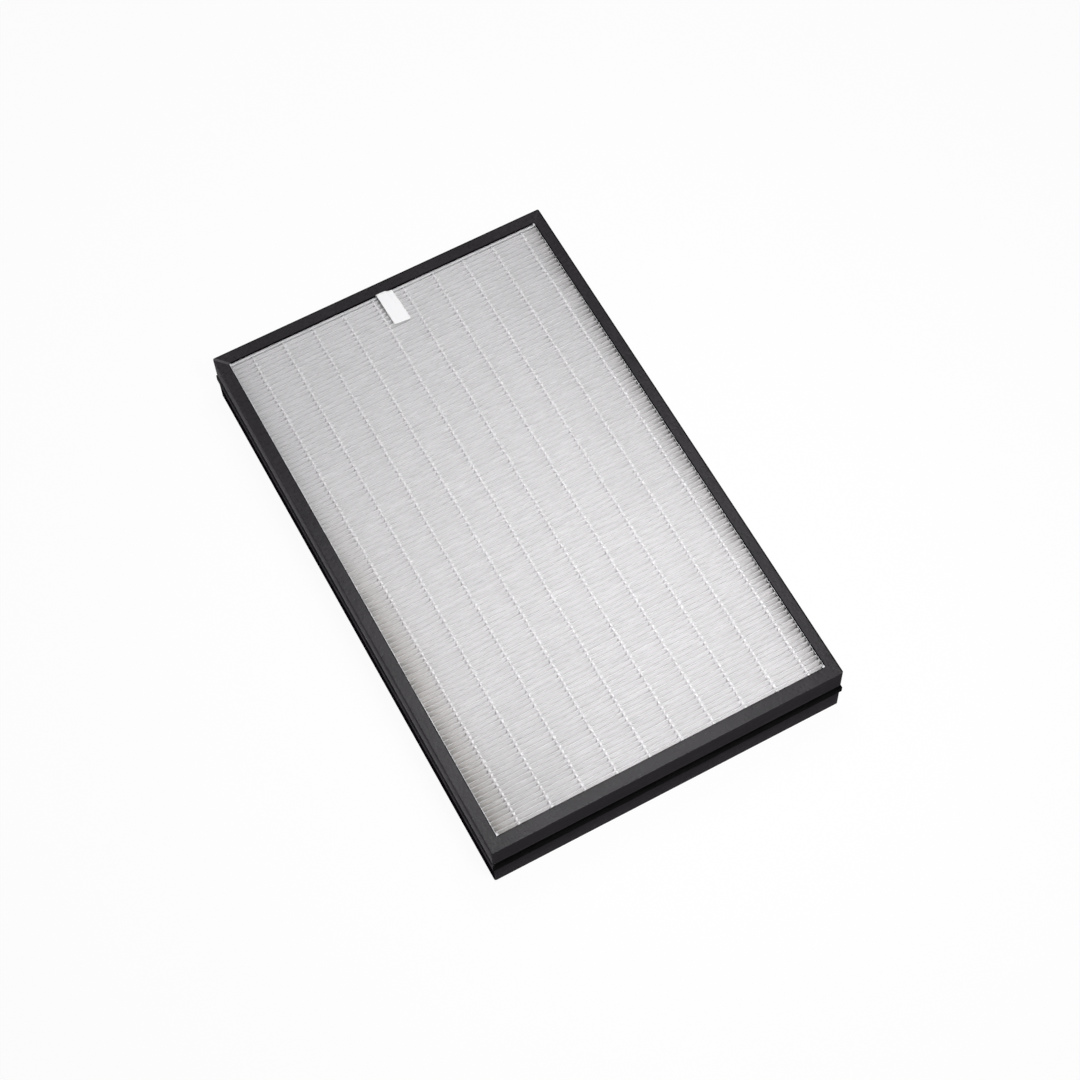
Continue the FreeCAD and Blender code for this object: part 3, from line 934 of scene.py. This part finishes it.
def smooth_line(points, steps):
    """Points of a smooth curve near a row of points, all equally far apart along it."""
    curve = bpy.data.curves.new("tape_line", "CURVE")
    curve.dimensions = "3D"
    spline = curve.splines.new("NURBS")
    spline.points.add(len(points) - 1)
    for point, (y, z) in zip(spline.points, points):
        point.co = (0, y * MM, z * MM, 1)
    spline.order_u = 3
    spline.use_endpoint_u = True
    spline.resolution_u = 24
    holder = bpy.data.objects.new("tape_line", curve)
    line = [vert.co.copy() for vert in bpy.data.meshes.new_from_object(holder).vertices]
    bpy.data.objects.remove(holder)
    lengths = [0.0]
    for start, end in zip(line, line[1:]):
        lengths.append(lengths[-1] + (end - start).length)
    places = []
    for step in range(steps + 1):
        goal = lengths[-1] * step / steps
        place = max(index for index, length in enumerate(lengths[:-1]) if length <= goal)
        share = (goal - lengths[place]) / (lengths[place + 1] - lengths[place])
        places.append(line[place].lerp(line[place + 1], share))
    return places, lengths[-1]


TAB_ROWS, TAB_COLUMNS = 64, 16
tape_places, tape_length = smooth_line(TAPE_LINE, TAB_ROWS)
print("tape length, mm:", round(tape_length / MM, 1))

# %% Pull tab
TAPE_WIDTH = 13.3 * MM
TAPE_THICK = 0.25 * MM
# Its left edge starts at this X and drifts to the right by its end, and its end is cut on the skew.
TAPE_LEFT, TAPE_DRIFT, END_SKEW = -7.2, 1.9, 1.3 * MM
# Past this share of its width the tape stands less high over the flange, by this share.
NOTCH_SIDE, NOTCH_DROP = 0.68, 0.6
# That step fades from this share of the tape's length on, over this share of it.
FADE_FROM, FADE_OVER = 0.35, 0.45
# The height of the tape under the flange, and the one above which it counts as out of it.
UNDER_FLANGE, FREE = 50.45 * MM, 50.6 * MM
COCKLE = 0.12 * MM

tab_shape = bmesh.new()
bmesh.ops.create_grid(tab_shape, x_segments=TAB_COLUMNS, y_segments=TAB_ROWS, size=0.5)
for vert in tab_shape.verts:
    share = 0.5 - vert.co.y
    side_share = vert.co.x + 0.5
    place = tape_places[round(share * TAB_ROWS)]
    x = (TAPE_LEFT + TAPE_DRIFT * share) * MM + TAPE_WIDTH * side_share
    stands = 1 - NOTCH_DROP / (1 + math.exp(-(side_share - NOTCH_SIDE) * 22))
    stands += (1 - stands) * min(1, max(0, (share - FADE_FROM) / FADE_OVER))
    z = UNDER_FLANGE + (place.z - UNDER_FLANGE) * (stands if place.z > FREE else 1)
    cockle = COCKLE * noise.noise(Vector((x * 150, place.y * 90, 3)))
    skew = END_SKEW * share * (1 - side_share)
    vert.co = (x, place.y + skew, z + cockle * min(1, max(0, share - FADE_FROM) * 5))
tab = make_piece("cloth_tab", tab_shape, (cloth_finish,), ["pull_tab"], 60)
tape = tab.modifiers.new("tape", "SOLIDIFY")
tape.thickness = TAPE_THICK
tape.offset = 0

# %% [markdown]
# ## Net under the carbon
# A moulded plastic net holds the carbon mat from below. It could be a flat plate with a picture of a net on
# it, but the mat has to show through. So a grid is laid, each square gets a middle point, and the lines of
# the first grid are dissolved: that leaves diamonds. Each diamond is inset and its inner part is taken out,
# and the strands that stay get their thickness from a Solidify modifier.

# %% Lower net
STRAND = 0.9 * MM
NET_SQUARES = (36, 42)


def diamond_net(node):
    """A net with diamond openings that fills the box of its CAD node."""
    low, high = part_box(node)
    size = high - low
    shape = bmesh.new()
    bmesh.ops.create_grid(shape, x_segments=NET_SQUARES[0], y_segments=NET_SQUARES[1], size=0.5)
    bmesh.ops.scale(shape, vec=(size.x, size.y, 1), verts=shape.verts[:])
    bmesh.ops.translate(shape, vec=(0, 0, (low.z + high.z) / 2), verts=shape.verts[:])
    first_lines = [edge for edge in shape.edges if not edge.is_boundary]
    bmesh.ops.poke(shape, faces=shape.faces[:])
    bmesh.ops.dissolve_edges(shape, edges=first_lines, use_verts=False)
    openings = shape.faces[:]
    print("openings in the net:", len(openings))
    bmesh.ops.inset_individual(shape, faces=openings, thickness=STRAND / 2, depth=0, use_even_offset=True)
    bmesh.ops.delete(shape, geom=openings, context="FACES")
    piece = make_piece("net_" + node, shape, (net_finish,), [node])
    strands = piece.modifiers.new("strands", "SOLIDIFY")
    strands.thickness = size.z
    strands.offset = 0
    return piece


diamond_net("lower_net")

# %% [markdown]
# ## Finishes on the CAD pieces that stay
# The bands and seals at the ends of the folds, the glue under the folds, the upper net and the carbon mat are
# hidden inside, and their plain shapes are right already. They only take their finish.

# %% Finishes of the remaining nodes
KEPT = {"side_band": paper_finish, "end_seal": seal_finish, "lower_bead": glue_finish,
        "upper_net": net_finish, "carbon_mat": carbon_finish}
kept_count = 0
for name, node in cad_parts.items():
    for start, material in KEPT.items():
        if name.startswith(start):
            for slot in node.material_slots:
                slot.material = material
            kept_count += 1
print("CAD nodes that keep their shape:", kept_count)

# %% Sizes of the dressed filter
low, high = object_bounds()
print("dressed, in mm:", [round(side / MM, 1) for side in high - low])
